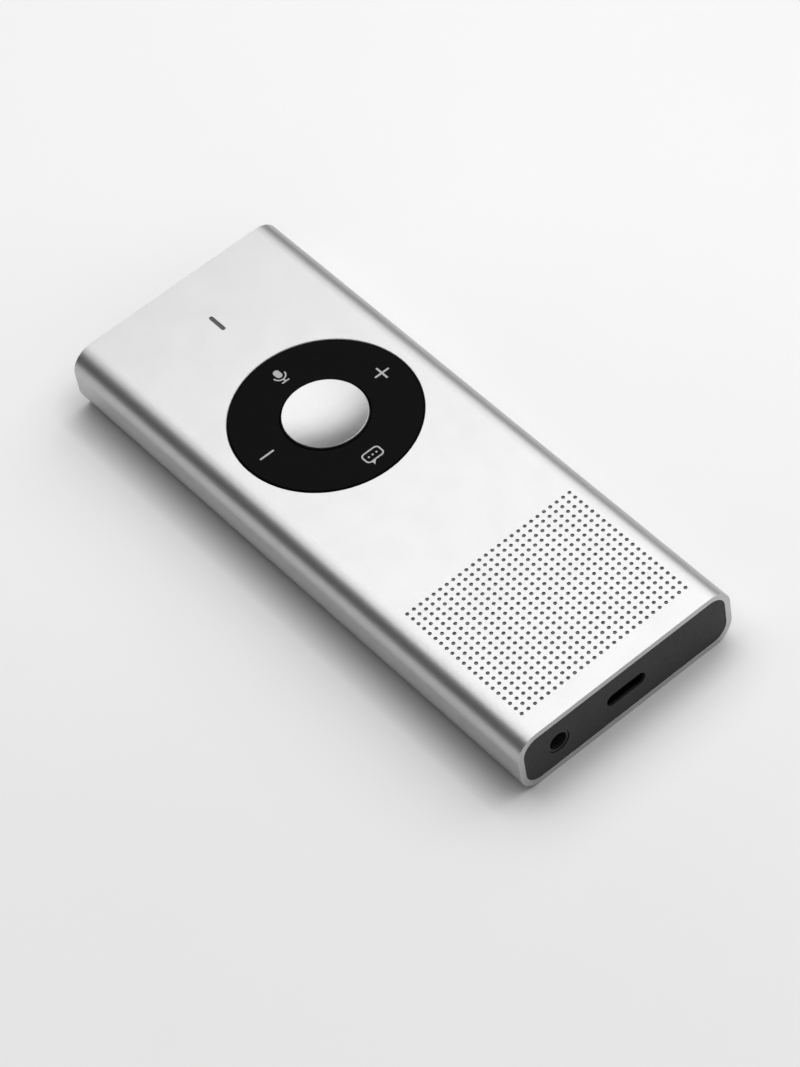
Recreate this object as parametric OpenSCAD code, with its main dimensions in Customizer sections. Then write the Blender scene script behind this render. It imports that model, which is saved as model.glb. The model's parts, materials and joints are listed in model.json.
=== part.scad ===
// Handheld translator: an extruded aluminium tube with a four-way ring key, a centre
// button, a drilled speaker grille and a plastic cap at each end.
//
// It lies on its back. The origin is on the floor under its middle, +X is to the right,
// +Y towards the microphone end and +Z out of the keys. All lengths are in millimetres.

/* [Tube] */
// Length of the tube
shell_l = 120.6; // [118:0.2:134]
// Width of the tube
shell_w = 47; // [46:0.2:54]
// Height of the tube
shell_h = 13; // [12.8:0.1:15]
// Outer radius of the tube's long edges
shell_r = 4.35; // [3.6:0.05:5]
// Wall of the tube
wall = 1.2; // [1:0.05:1.3]

/* [Grille] */
// Distance between neighbouring holes
grille_pitch = 1.45; // [1.2:0.01:1.5]
// Holes across the width
grille_cols = 26; // [10:1:26]
// Holes along the length
grille_rows = 21; // [10:1:22]
// Diameter of a hole
grille_hole_d = 0.7; // [0.4:0.05:0.9]
// From the tube's front end to the first row of holes
grille_inset = 4.7; // [4.2:0.1:8]

/* [Ring key] */
// Outer diameter of the ring
ring_d = 34.4; // [34:0.1:36]
// From the tube's back end to the ring's centre
ring_from_back = 43.3; // [41:0.1:46]
// Gap round the ring, to the tube and to the centre button
ring_gap = 0.2; // [0.15:0.01:0.3]
// Thickness of the ring's top plate
ring_t = 1.2; // [1:0.1:1.5]
// Thickness of the ring's two skirts
skirt_t = 0.9; // [0.7:0.1:1]
// How far the flange reaches under the tube's wall
flange_lap = 0.8; // [0.5:0.1:1]
// Thickness of the flange
flange_t = 0.8; // [0.6:0.1:0.9]
// Distance of the four marks and their nubs from the ring's centre
key_r = 12.9; // [12.6:0.1:13]
// Radius of a nub
nub_r = 1.3; // [1:0.1:1.35]
// Tilt of the ring to each side, in degrees
ring_tilt = 1; // [0.6:0.1:1.1]

/* [Gimbal] */
// Inner radius of the carrier that the ring tips on
carrier_ri = 15.6; // [15.5:0.1:15.8]
// Width of the carrier, from its inner to its outer edge
carrier_w = 1.4; // [1.2:0.1:1.6]
// Thickness of the carrier
carrier_t = 1.2; // [1.1:0.1:1.3]
// Radius of a trunnion pin
pin_r = 0.4; // [0.3:0.02:0.44]
// Radial clearance of a trunnion pin in its bore
pin_play = 0.04; // [0.02:0.01:0.08]
// Thickness of an ear under the ring
ear_t = 1; // [0.8:0.1:1]
// Thickness of a bearing post
post_t = 1.4; // [1:0.1:1.6]

/* [Centre button] */
// Diameter of the button
button_d = 15.56; // [14.6:0.02:15.8]
// How far the button's edge stands above the ring
button_proud = 0.44; // [0.35:0.01:0.8]
// Depth of the round dish in the button's top
dish_depth = 0.95; // [0.4:0.05:1]
// Travel of the button
button_travel = 0.3; // [0.2:0.05:0.3]
// Radius of the button's stem
stem_r = 2; // [1.6:0.1:2.4]
// Radial clearance of the stem in its guide
stem_play = 0.05; // [0.03:0.01:0.09]
// Wall of the button's metal cap
button_wall = 0.8; // [0.6:0.1:1]

/* [Status window] */
// Length of the window slot, along the tube
window_l = 4.3; // [3.5:0.1:5]
// Width of the window slot
window_w = 0.8; // [0.6:0.05:1.2]
// From the tube's back end to the window
window_from_back = 12.8; // [12:0.1:14]

/* [End caps] */
// Thickness of a cap
cap_t = 2; // [1.6:0.1:2.2]
// How far a cap sits inside the end of the tube
cap_recess = 0.05; // [0:0.05:0.4]
// Gap between a cap and the tube
cap_gap = 0.1; // [0.05:0.01:0.2]
// Length of a cap's two snap arms
arm_l = 6; // [5:0.2:6.4]
// Distance of each microphone hole from the middle
mic_x = 10; // [9.4:0.1:13]
// Diameter of a microphone hole
mic_hole_d = 1; // [0.6:0.1:1.2]

/* [Ports] */
// Outer width of the charging receptacle
usb_w = 8.94; // [8.8:0.02:9.1]
// Outer height of the charging receptacle
usb_h = 3.16; // [3.1:0.02:3.4]
// Length of the charging receptacle
usb_l = 7; // [6.4:0.1:7.1]
// Sheet thickness of the receptacle's shell
usb_sheet = 0.3; // [0.2:0.02:0.34]
// Clearance of the receptacle in the cap
usb_gap = 0.12; // [0.05:0.01:0.2]
// Thickness of the cap's lip in front of the receptacle
usb_lip_t = 0.4; // [0.3:0.05:0.6]
// How far the lip's opening stands back from the receptacle's mouth
usb_lip_gap = 0.08; // [0.04:0.02:0.2]
// Distance of the headset socket to the left of the middle
jack_x = 14.9; // [14.5:0.1:15.4]
// Bore radius of the headset socket
jack_bore_r = 1.8; // [1.76:0.01:1.9]
// Depth of the headset socket's bore
jack_depth = 14; // [13:0.1:14.4]
// Wall of the socket's round nose
nose_wall = 0.4; // [0.3:0.05:0.6]
// Width of the socket's body
jack_w = 6.2; // [5.6:0.1:6.4]
// Height of the socket's body
jack_h = 5; // [4.6:0.1:5.2]

/* [Chassis] */
// Gap between the chassis and the tube
slide_gap = 0.1; // [0.05:0.01:0.15]
// Floor and side walls of the chassis
tray_t = 0.7; // [0.6:0.05:0.75]
// Radius of a screw boss
boss_r = 1.5; // [1.2:0.1:1.6]
// Radius of a screw's shaft
screw_r = 0.7; // [0.5:0.05:0.8]

/* [Battery] */
// Width of the battery
battery_w = 33.4; // [28:0.2:33.6]
// Length of the battery
battery_l = 58; // [40:1:59]
// Thickness of the battery
battery_t = 3.2; // [2.6:0.1:3.3]
// Thickness of the foam pad under the battery
pad_t = 0.2; // [0.1:0.05:0.3]
// Room over the battery for it to swell
swell_gap = 0.35; // [0.2:0.05:0.4]

/* [Boards] */
// Thickness of both circuit boards
board_t = 0.8; // [0.6:0.1:0.8]
// Height of a key switch's square body
switch_body_h = 0.55; // [0.4:0.05:0.6]
// Height of a key switch's round plunger
switch_tip_h = 0.3; // [0.2:0.05:0.35]
// Side of a key switch
switch_w = 3; // [2.4:0.1:3.2]

/* [Speaker] */
// Diameter of the speaker's basket
speaker_d = 24; // [20:0.2:24.2]
// Distance of the speaker to the right of the middle
speaker_x = 2; // [1.6:0.1:2.4]
// From the tube's front end to the speaker's middle
speaker_from_front = 21.8; // [21.6:0.1:24]
// Thickness of the foam gasket over the speaker
gasket_t = 1.3; // [1.1:0.1:1.5]
// Thickness of the dust mesh under the grille
mesh_t = 0.15; // [0.1:0.05:0.2]

/* [Hidden] */

$fn = 64;
eps = 0.01;        // how far a cut runs past a face
merge = 0.3;       // how far joined forms of one piece run into each other
face_gap = 0.03;   // gap between pieces that rest on each other through glue or foam
play = 0.08;       // least clearance of a moving piece at its limit
small_gap = 0.2;   // clearance between fixed pieces

// Ends of the tube, and the inner faces of the caps
front_y = -shell_l / 2;
back_y = shell_l / 2;
front_in_y = front_y + cap_recess + cap_t;
back_in_y = back_y - cap_recess - cap_t;
mid_z = shell_h / 2;
roof_z = shell_h - wall;

// Ring and gimbal, stacked down from the tube's top
ring_y = back_y - ring_from_back;
ring_r = ring_d / 2;
button_r = button_d / 2;
ring_ri = button_r + ring_gap;
hole_r = ring_r + ring_gap;
flange_r = hole_r + flange_lap;
rise = flange_r * sin(ring_tilt) * sqrt(2);   // lift of the flange with both tilts at their limits
flange_top = roof_z - rise - play;
flange_bot = flange_top - flange_t;
bearing_r = pin_r + pin_play;
cheek = 0.3;                                  // wall over a bearing bore
post_top = flange_bot - rise - play;
axis_z = post_top - cheek - bearing_r;
carrier_ro = carrier_ri + carrier_w;
carrier_top = axis_z + carrier_t / 2;
carrier_bot = axis_z - carrier_t / 2;
bracket_top = carrier_bot - carrier_ro * sin(ring_tilt) - play;
bracket_t = 0.7;
bracket_bot = bracket_top - bracket_t;
ear_ro = carrier_ri - small_gap;
ear_ri = ear_ro - ear_t;
ear_w = 2.4;
post_x0 = carrier_ro + small_gap;
post_x1 = post_x0 + post_t;
post_w = 2.6;
skirt_depth = 2.1;                            // how far the ring's inner skirt hangs below its top
inner_skirt_bot = shell_h - skirt_depth;
inner_skirt_r = ring_ri + skirt_t;

// Chassis and boards, stacked up from the tube's floor
tray_inset = wall + slide_gap;
floor_top = tray_inset + tray_t;
tray_hw = shell_w / 2 - tray_inset - tray_t;  // half the width inside the chassis
battery_z = floor_top + pad_t;
board_z = battery_z + battery_t + swell_gap;
board_top = board_z + board_t;
board_hw = tray_hw - 0.6;
tray_top = board_top + 1;
tray_y0 = front_in_y + slide_gap;
tray_y1 = back_in_y - slide_gap;
switch_top = board_top + switch_body_h + switch_tip_h;

// Speaker, stacked down from the grille
grille_y0 = front_y + grille_inset;
grille_w = (grille_cols - 1) * grille_pitch;
grille_l = (grille_rows - 1) * grille_pitch;
mesh_margin = 1;                              // how far the mesh runs past the outer holes
mesh_hw = min(grille_w / 2 + mesh_margin, shell_w / 2 - shell_r);
mesh_z = roof_z - face_gap - mesh_t;
gasket_z = mesh_z - gasket_t;
rim_t = 0.9;                                  // thickness of the basket's rim
well_top = gasket_z - rim_t;
speaker_y = front_y + speaker_from_front;
basket_r = speaker_d / 2;
well_ri = basket_r + 0.15;
well_ro = well_ri + 1.4;
rim_r = well_ro - small_gap;

// Outline of the main board
board_y0 = speaker_y + well_ro + 1.2;
board_y1 = back_in_y - 2.6;
shoulder_y = back_in_y - arm_l - 1.5;         // where the board narrows for the rear cap's arms
arm_t = 1;
arm_x1 = tray_hw - 0.15;
arm_x0 = arm_x1 - arm_t;
tail_hw = arm_x0 - 0.6;
boss_x = board_hw - 2;
foot_dy = 17.5;                               // bracket feet, before and behind the ring's centre
front_boss_dy = 6.5;
front_boss_y = board_y0 + front_boss_dy;
screw_gap = 0.03;                             // clearance of a screw's shaft in its boss
screw_head_r = screw_r + 0.55;
screw_head_h = 0.8;
boss_depth = 2.2;                             // depth of a screw in its boss

// Battery bay, with the battery's own board and lead in front of it
pcm_l = 3.4;
lead_reach = 1.6;
plug_l = 1.6;
plug_room = 2.35;                             // from the main board's front edge to the lead's plug
battery_y0 = board_y0 + plug_room + plug_l / 2 + lead_reach + pcm_l;
battery_y1 = battery_y0 + battery_l;
pcm_w = 26;
pcm_t = 0.8;
pcm_z = battery_z + 1;
stop_x0 = 14.5;
stop_t = 1;

// Ports, at the middle of the tube's height
usb_z = mid_z;
usb_pocket_y = front_y + cap_recess + usb_lip_t;
usb_y0 = usb_pocket_y + face_gap;
mouth_w = usb_w - 2 * usb_sheet;
mouth_h = usb_h - 2 * usb_sheet;
port_top = usb_z - usb_h / 2;
port_z = port_top - board_t;
port_y0 = front_in_y + 0.3;
port_x0 = -jack_x + jack_w / 2 + 0.1;
port_x1 = tail_hw;
nose_r = jack_bore_r + nose_wall;
jack_y0 = front_y + cap_recess + 0.2;
jack_body_y0 = front_in_y + 0.2;
jack_y1 = jack_y0 + jack_depth + 0.6;
lobe_x0 = speaker_x + 12.6;
lobe_y1 = front_in_y + 11;
lobe_boss_inset = [1.8, 5.4];                 // from the lobe's back right corner to its screw
port_boss_inset = 2.6;
port_boss = [port_x0 + port_boss_inset, port_y0 + port_boss_inset];
lobe_boss = [port_x1 - lobe_boss_inset[0], lobe_y1 - lobe_boss_inset[1]];
flex_w = 3;
flex_t = 0.15;
flex_x = (speaker_x + well_ro + tail_hw) / 2;

// Small parts on the main board
window_y = back_y - window_from_back;
mic_z = board_top + 0.9;
mic_y = board_y1 - 1.9;

// ---------------------------------------------------------------- helpers

// Rectangle with round corners, centred
module rounded(w, h, r) {
  square([w - 2 * r, h], center = true);
  square([w, h - 2 * r], center = true);
  for (x = [-1, 1], y = [-1, 1])
    translate([x * (w / 2 - r), y * (h / 2 - r)]) circle(r);
}

// Slot with round ends, its long side along X
module capsule(l, w) {
  square([l - w, w], center = true);
  for (x = [-1, 1]) translate([x * (l - w) / 2, 0]) circle(d = w);
}

// Extrudes an outline drawn in X and Z along Y, from y0 to y1
module along_y(y0, y1)
  translate([0, y1, 0]) rotate([90, 0, 0]) linear_extrude(y1 - y0) children();

// Extrudes an outline drawn in Y and Z along X, from x0 to x1
module along_x(x0, x1)
  translate([x0, 0, 0]) rotate([90, 0, 90]) linear_extrude(x1 - x0) children();

// Extrudes an outline drawn in X and Y from z0 up to z1
module up(z0, z1)
  translate([0, 0, z0]) linear_extrude(z1 - z0) children();

// Section of the tube, drawn in by an inset
module section(inset)
  translate([0, mid_z]) rounded(shell_w - 2 * inset, shell_h - 2 * inset, shell_r - inset);

// Box from one corner to the opposite one
module box(low, high)
  translate(low) cube(high - low);

// Block centred at [x, y], standing on z
module chip(x, y, z, size)
  translate([x - size[0] / 2, y - size[1] / 2, z]) cube(size);

// Places its children at the four bracket feet
module at_feet()
  for (x = [-boss_x, boss_x], y = [ring_y - foot_dy, ring_y + foot_dy])
    translate([x, y, 0]) children();

// Places its children at the main board's two front screws
module at_front_bosses()
  for (x = [-boss_x, boss_x]) translate([x, front_boss_y, 0]) children();

// Places its children at the port board's two screws
module at_port_bosses()
  for (p = [port_boss, lobe_boss]) translate([p[0], p[1], 0]) children();

// Pan-head screw whose head stands on seat_z
module screw(seat_z, end_z) {
  difference() {
    translate([0, 0, seat_z]) cylinder(r = screw_head_r, h = screw_head_h);
    translate([0, 0, seat_z + screw_head_h / 2])
      cylinder(r = screw_r * 0.6, h = screw_head_h, $fn = 6);
  }
  translate([0, 0, end_z]) cylinder(r = screw_r, h = seat_z - end_z + merge);
}

// ---------------------------------------------------------------- tube and caps

module grille_holes()
  for (i = [0 : grille_cols - 1], j = [0 : grille_rows - 1])
    translate([i * grille_pitch - grille_w / 2, grille_y0 + j * grille_pitch])
      circle(d = grille_hole_d, $fn = 16);

module window_slot(clearance)
  translate([0, window_y]) rotate(90)
    capsule(window_l - 2 * clearance, window_w - 2 * clearance);

edge_break = 0.15;
module shell()
  color([0.86, 0.86, 0.87]) difference() {
    along_y(front_y, back_y) difference() {
      section(0);
      section(wall);
    }
    up(roof_z - eps, shell_h + eps) {
      translate([0, ring_y]) circle(hole_r);
      window_slot(0);
      grille_holes();
    }
    translate([0, ring_y, shell_h - edge_break])
      cylinder(r1 = hole_r, r2 = hole_r + edge_break + eps, h = edge_break + eps);
  }

// One snap arm on the right of a cap whose inner face is at Y 0, reaching along +Y
arm_z = floor_top + 2;
arm_h = 2.6;
barb_l = 1.2;
barb_y = arm_l - barb_l;
module arm() {
  box([arm_x0, -merge, arm_z], [arm_x1, arm_l, arm_z + arm_h]);
  translate([0, 0, arm_z]) linear_extrude(arm_h) polygon([
    [arm_x1 - merge, barb_y], [arm_x1 + tray_t, barb_y],
    [arm_x1, arm_l], [arm_x1 - merge, arm_l]
  ]);
}

// A cap's plate and arms, with its inner face at Y 0 and its outside towards -Y
module cap_blank() {
  along_y(-cap_t, 0) section(wall + cap_gap);
  for (side = [0, 1]) mirror([side, 0, 0]) arm();
}

module front_cap()
  color([0.2, 0.2, 0.21]) difference() {
    translate([0, front_in_y, 0]) cap_blank();
    along_y(front_y - eps, front_in_y + eps) {
      translate([0, usb_z]) capsule(mouth_w + 2 * usb_lip_gap, mouth_h + 2 * usb_lip_gap);
      translate([-jack_x, mid_z]) circle(nose_r + 0.1);
    }
    along_y(usb_pocket_y, front_in_y + eps)
      translate([0, usb_z]) capsule(usb_w + 2 * usb_gap, usb_h + 2 * usb_gap);
  }

module rear_cap()
  color([0.2, 0.2, 0.21]) difference() {
    translate([0, back_in_y, 0]) mirror([0, 1, 0]) cap_blank();
    along_y(back_in_y - eps, back_y + eps)
      for (x = [-mic_x, mic_x]) translate([x, mic_z]) circle(d = mic_hole_d);
  }

// ---------------------------------------------------------------- chassis

// Windows in the chassis wall that a cap's barbs snap into, for a cap's inner face at Y 0
module barb_windows()
  for (side = [-1, 1])
    translate([side * (tray_hw + tray_t / 2), barb_y + barb_l / 2, arm_z + arm_h / 2])
      cube([tray_t + 2 * merge, barb_l + small_gap, arm_h + small_gap], center = true);

module bosses() {
  at_feet() up(floor_top - merge, board_z) circle(boss_r);
  at_front_bosses() up(floor_top - merge, board_z) circle(boss_r);
  at_port_bosses() up(floor_top - merge, port_z) circle(boss_r);
}

// Ribs that the socket's body lies on
module jack_cradle()
  for (y = [jack_body_y0 + 1, jack_y1 - 3])
    box([-jack_x - jack_w / 2, y, floor_top - merge],
        [-jack_x + jack_w / 2, y + 1, mid_z - jack_h / 2]);

// Short walls that hold the battery's corners, clear of the cap's arms
module battery_stops()
  for (y = [battery_y0 - 0.3 - stop_t, battery_y1 + 0.3], side = [0, 1]) mirror([side, 0, 0])
    along_y(y, y + stop_t) intersection() {
      section(tray_inset + tray_t / 2);
      translate([stop_x0, 0]) square([arm_x0 - small_gap - stop_x0, board_z - small_gap]);
    }

module chassis()
  color([0.33, 0.34, 0.36]) difference() {
    union() {
      along_y(tray_y0, tray_y1) intersection() {
        difference() {
          section(tray_inset);
          section(tray_inset + tray_t);
        }
        translate([-shell_w, 0]) square([2 * shell_w, tray_top]);
      }
      for (side = [0, 1]) mirror([side, 0, 0])
        box([board_hw - 1, board_y0, board_z - 1.2], [tray_hw + merge, shoulder_y, board_z]);
      up(floor_top - merge, well_top) translate([speaker_x, speaker_y]) circle(well_ro);
      bosses();
      jack_cradle();
      battery_stops();
    }
    up(floor_top, well_top + eps) translate([speaker_x, speaker_y]) circle(well_ri);
    at_feet() up(board_z - boss_depth - 0.3, board_z + eps) circle(screw_r + screw_gap);
    at_front_bosses() up(board_z - boss_depth - 0.3, board_z + eps) circle(screw_r + screw_gap);
    at_port_bosses() up(floor_top + 0.2, port_z + eps) circle(screw_r + screw_gap);
    translate([0, front_in_y, 0]) barb_windows();
    translate([0, back_in_y, 0]) mirror([0, 1, 0]) barb_windows();
  }

// ---------------------------------------------------------------- ring key and gimbal

module ring_section() {
  edge = 0.2;
  translate([ring_ri, shell_h - ring_t]) square([ring_r - ring_ri, ring_t - edge]);
  translate([0, shell_h - edge]) polygon([
    [ring_ri, 0], [ring_ri + edge, edge], [ring_r - edge, edge], [ring_r, 0]
  ]);
  translate([ring_r - skirt_t, flange_bot]) square([skirt_t, shell_h - ring_t / 2 - flange_bot]);
  translate([ring_r - skirt_t, flange_bot]) square([flange_r - ring_r + skirt_t, flange_t]);
  translate([ring_ri, inner_skirt_bot]) square([skirt_t, skirt_depth - ring_t / 2]);
}

// Ear on the +Y side, with a round foot about the trunnion's axis
module ear() {
  box([-ear_w / 2, ear_ri, axis_z], [ear_w / 2, ear_ro, shell_h - ring_t + merge]);
  along_y(ear_ri, ear_ro) translate([0, axis_z]) circle(d = ear_w);
}

nub_bot = switch_top + (key_r + nub_r) * sin(ring_tilt) + 0.05;
rib_t = 0.6;
module ring_key()
  color([0.07, 0.07, 0.075]) translate([0, ring_y, 0]) difference() {
    union() {
      rotate_extrude() ring_section();
      for (a = [0 : 90 : 270]) rotate(a)
        translate([key_r, 0, 0]) up(nub_bot, shell_h - ring_t + merge) circle(nub_r);
      for (a = [45 : 90 : 315]) rotate(a)
        box([inner_skirt_r - merge, -rib_t / 2, inner_skirt_bot],
            [ring_r - skirt_t + merge, rib_t / 2, shell_h - ring_t + merge]);
      for (side = [0, 1]) mirror([0, side, 0]) ear();
    }
    for (side = [0, 1]) mirror([0, side, 0])
      along_y(ear_ri - eps, ear_ro + eps) translate([0, axis_z]) circle(bearing_r);
  }

module rocker_carrier()
  color([0.45, 0.45, 0.47]) translate([0, ring_y, 0]) {
    up(carrier_bot, carrier_top) difference() {
      circle(carrier_ro);
      circle(carrier_ri);
    }
    for (side = [0, 1]) mirror([side, 0, 0])
      along_x(carrier_ro - carrier_w / 2, post_x1) translate([0, axis_z]) circle(pin_r);
    for (side = [0, 1]) mirror([0, side, 0])
      along_y(ear_ri, carrier_ri + carrier_w / 2) translate([0, axis_z]) circle(pin_r);
  }

collar_r = stem_r + stem_play + 1.2;
retainer_t = 0.6;
retainer_r = inner_skirt_r - 0.1;
retainer_top = inner_skirt_bot - inner_skirt_r * sin(ring_tilt) * sqrt(2) - play;
retainer_bot = retainer_top - retainer_t;
collar_top = retainer_bot - button_travel - play;
pocket_top = board_top + switch_body_h + small_gap;
key_window_r = 3;
key_window_at = key_r + 0.8;
foot_r = boss_r + 0.3;

module bracket_outline() difference() {
  rounded(2 * (boss_x + foot_r), 2 * (foot_dy + foot_r), foot_r);
  for (a = [0 : 90 : 270]) rotate(a) translate([key_window_at, 0]) circle(key_window_r);
  for (a = [45 : 90 : 315]) rotate(a) translate([key_r, 0]) circle(2.6);
}

// Bearing post on the +X side
module post() difference() {
  box([post_x0, -post_w / 2, bracket_top - merge], [post_x1, post_w / 2, post_top]);
  along_x(post_x0 - eps, post_x1 + eps) translate([0, axis_z]) circle(bearing_r);
}

module key_bracket()
  color([0.62, 0.63, 0.66]) difference() {
    union() {
      translate([0, ring_y, 0]) {
        up(bracket_bot, bracket_top) bracket_outline();
        up(bracket_bot, collar_top) circle(collar_r);
        for (side = [0, 1]) mirror([side, 0, 0]) post();
      }
      at_feet() up(board_top, bracket_bot + merge) circle(foot_r);
    }
    translate([0, ring_y, 0]) {
      up(board_top, collar_top + eps) circle(stem_r + stem_play);
      up(board_top, pocket_top) circle(switch_w / sqrt(2) + small_gap);
    }
    at_feet() up(board_top - eps, bracket_top + eps) circle(screw_r + 0.1);
  }

module bracket_screws()
  color([0.7, 0.7, 0.72]) at_feet() screw(bracket_top, board_z - boss_depth);

// ---------------------------------------------------------------- centre button

button_edge_z = shell_h + button_proud;
button_edge = 0.12;                           // chamfer round the button's top edge
dish_edge_r = button_r - button_edge;
dish_r = (pow(dish_edge_r, 2) + pow(dish_depth, 2)) / (2 * dish_depth);
cap_skirt_bot = retainer_top;
plug_top = button_edge_z - dish_depth - button_wall;

// Half section of the metal cap: a cup with a dished top and a small edge chamfer
module button_cap_section()
  difference() {
    polygon([
      [0, cap_skirt_bot], [button_r, cap_skirt_bot], [button_r, button_edge_z - button_edge],
      [dish_edge_r, button_edge_z], [0, button_edge_z]
    ]);
    translate([0, button_edge_z - dish_depth + dish_r]) circle(dish_r, $fn = 256);
    translate([-eps, cap_skirt_bot - eps])
      square([button_r - button_wall + eps, plug_top - cap_skirt_bot + eps]);
  }

module button_cap()
  color([0.82, 0.82, 0.83]) translate([0, ring_y, 0]) rotate_extrude() button_cap_section();

module button_plunger()
  color([0.1, 0.1, 0.11]) translate([0, ring_y, 0]) {
    up(retainer_bot, retainer_top - face_gap) circle(retainer_r);
    up(retainer_bot, plug_top - face_gap) circle(button_r - button_wall - face_gap);
    up(switch_top + button_travel + face_gap, retainer_bot + merge) circle(stem_r);
  }

// ---------------------------------------------------------------- main board and what is on it

module tact_switch() {
  up(board_top, board_top + switch_body_h) square(switch_w, center = true);
  up(board_top + switch_body_h - eps, switch_top) circle(d = switch_w * 0.6);
}

module key_switches()
  color([0.75, 0.75, 0.72]) translate([0, ring_y, 0])
    for (a = [0 : 90 : 270]) rotate(a) translate([key_r, 0, 0]) tact_switch();

module centre_switch()
  color([0.75, 0.75, 0.72]) translate([0, ring_y, 0]) tact_switch();

module main_board()
  color([0.1, 0.32, 0.2]) up(board_z, board_top) difference() {
    union() {
      translate([-board_hw, board_y0]) square([2 * board_hw, shoulder_y - board_y0]);
      translate([-tail_hw, board_y0]) square([2 * tail_hw, board_y1 - board_y0]);
    }
    at_feet() circle(screw_r + 0.1);
    at_front_bosses() circle(screw_r + 0.1);
  }

module board_screws()
  color([0.7, 0.7, 0.72]) at_front_bosses() screw(board_top, board_z - boss_depth);

can_room = ring_y - foot_dy - foot_r - board_y0;   // from the board's front edge to the bracket
can_w = 24;
can_l = can_room * 0.606;
can_h = 1.7;
can_sheet = 0.2;
can_y = board_y0 + can_room / 2;
module shield_can()
  color([0.78, 0.78, 0.76]) difference() {
    chip(0, can_y, board_top, [can_w, can_l, can_h]);
    chip(0, can_y, board_top - eps,
         [can_w - 2 * can_sheet, can_l - 2 * can_sheet, can_h - can_sheet]);
  }

// Processor and memory under the can, codec and charger beside it, radio module at the back
chip_margin = 2;                              // from a chip to the can's wall
chip_aside = 3;                               // from the can to the middle of a chip beside it
antenna_gap = 1;
antenna_w = 13;
processor = [9, can_l - 2 * chip_margin, 1];
memory = [8, can_l - 2 * chip_margin, 0.9];
codec = [3.5, 3.5, 0.8];
charger = [4, 4, 0.8];
radio = [10, 8, 1.4];
amplifier = [5, 5, 0.8];
module board_chips()
  color([0.12, 0.12, 0.13]) {
    chip(-can_w / 2 + chip_margin + processor[0] / 2, can_y, board_top, processor);
    chip(can_w / 2 - chip_margin - memory[0] / 2, can_y, board_top, memory);
    chip(can_w / 2 + chip_aside, can_y, board_top, codec);
    chip(-can_w / 2 - chip_aside, can_y, board_top, charger);
    chip(-(antenna_w + radio[0]) / 2 - antenna_gap, window_y, board_top, radio);
    chip((antenna_w + amplifier[0]) / 2 + antenna_gap, window_y, board_top, amplifier);
  }

led_h = 0.7;
module status_led()
  color([0.95, 0.95, 0.9]) chip(0, window_y, board_top, [1.3, 2, led_h]);

pipe_flange_t = 0.8;
pipe_foot = [1.4, 2.4];                       // section of the pipe over the lamp
module light_pipe()
  color([0.16, 0.16, 0.17]) {
    up(roof_z - face_gap - pipe_flange_t, shell_h - 0.12) window_slot(0.05);
    up(roof_z - face_gap - pipe_flange_t, roof_z - face_gap)
      translate([0, window_y]) rounded(window_w + 2, window_l + 2, 0.6);
    up(board_top + led_h + small_gap, roof_z - pipe_flange_t)
      translate([0, window_y]) rounded(pipe_foot[0], pipe_foot[1], 0.4);
  }

antenna_l = 3.6;
antenna_rise = 3.2;
antenna_z = board_top + antenna_rise;
antenna_t = 0.3;
fold_w = 2;                                   // from one slot of the folded strip to the next
fold_slot = 0.8;
antenna_leg_gap = 3;

// Folded strip on two legs, with its slots cut from the front and the back in turn
module antenna()
  color([0.83, 0.7, 0.4]) translate([0, board_y1 - 0.6 - antenna_l, 0]) {
    up(antenna_z, antenna_z + antenna_t) difference() {
      translate([-antenna_w / 2, 0]) square([antenna_w, antenna_l]);
      for (i = [-2 : 2]) translate([i * fold_w - fold_slot / 2, i % 2 == 0 ? 1 : -1])
        square([fold_slot, antenna_l]);
    }
    for (x = [-antenna_w / 2, -antenna_w / 2 + antenna_leg_gap])
      box([x, 0, board_top], [x + 1, antenna_t, antenna_z + antenna_t / 2]);
  }

mic_size = [3.4, 2.6, 1.1];
module microphones()
  color([0.8, 0.78, 0.7])
    for (x = [-mic_x, mic_x]) chip(x, mic_y, board_top, mic_size);

boot_w = 2.4;
boot_h = 2.2;
boot_y0 = mic_y + mic_size[1] / 2 + face_gap;
module mic_boots()
  color([0.15, 0.15, 0.15])
    for (x = [-mic_x, mic_x]) along_y(boot_y0, back_in_y - face_gap) difference() {
      translate([x - boot_w / 2, board_top + face_gap]) square([boot_w, boot_h]);
      translate([x, mic_z]) circle(d = mic_hole_d);
    }

// ---------------------------------------------------------------- battery

module battery()
  color([0.72, 0.73, 0.75])
    along_y(battery_y0, battery_y1)
      translate([0, battery_z + battery_t / 2]) rounded(battery_w, battery_t, 0.6);

module battery_pad()
  color([0.2, 0.2, 0.2])
    box([-battery_w / 2 + 3, battery_y0 + 4, floor_top], [battery_w / 2 - 3, battery_y1 - 4, battery_z]);

module battery_board()
  color([0.1, 0.32, 0.2]) {
    box([-pcm_w / 2, battery_y0 - pcm_l, pcm_z], [pcm_w / 2, battery_y0, pcm_z + pcm_t]);
    for (x = [-7, 0, 7]) chip(x, battery_y0 - pcm_l / 2, pcm_z + pcm_t - eps, [3, 1.8, 0.5]);
  }

lead_w = 5;
lead_t = 0.3;
module battery_lead()
  color([0.85, 0.55, 0.2]) {
    y1 = battery_y0 - pcm_l;
    y0 = y1 - lead_reach;
    box([-lead_w / 2, y0, pcm_z], [lead_w / 2, y1, pcm_z + lead_t]);
    box([-lead_w / 2, y0, pcm_z], [lead_w / 2, y0 + lead_t, board_z - face_gap]);
    box([-lead_w / 2 - 0.5, y0 - plug_l / 2, board_z - 1.1],
        [lead_w / 2 + 0.5, y0 + plug_l / 2, board_z - face_gap]);
  }

// ---------------------------------------------------------------- speaker

module at_speaker() translate([speaker_x, speaker_y, 0]) children();

module dust_mesh()
  color([0.18, 0.18, 0.18])
    up(mesh_z, mesh_z + mesh_t)
      translate([-mesh_hw, grille_y0 - mesh_margin])
        square([2 * mesh_hw, grille_l + 2 * mesh_margin]);

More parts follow.
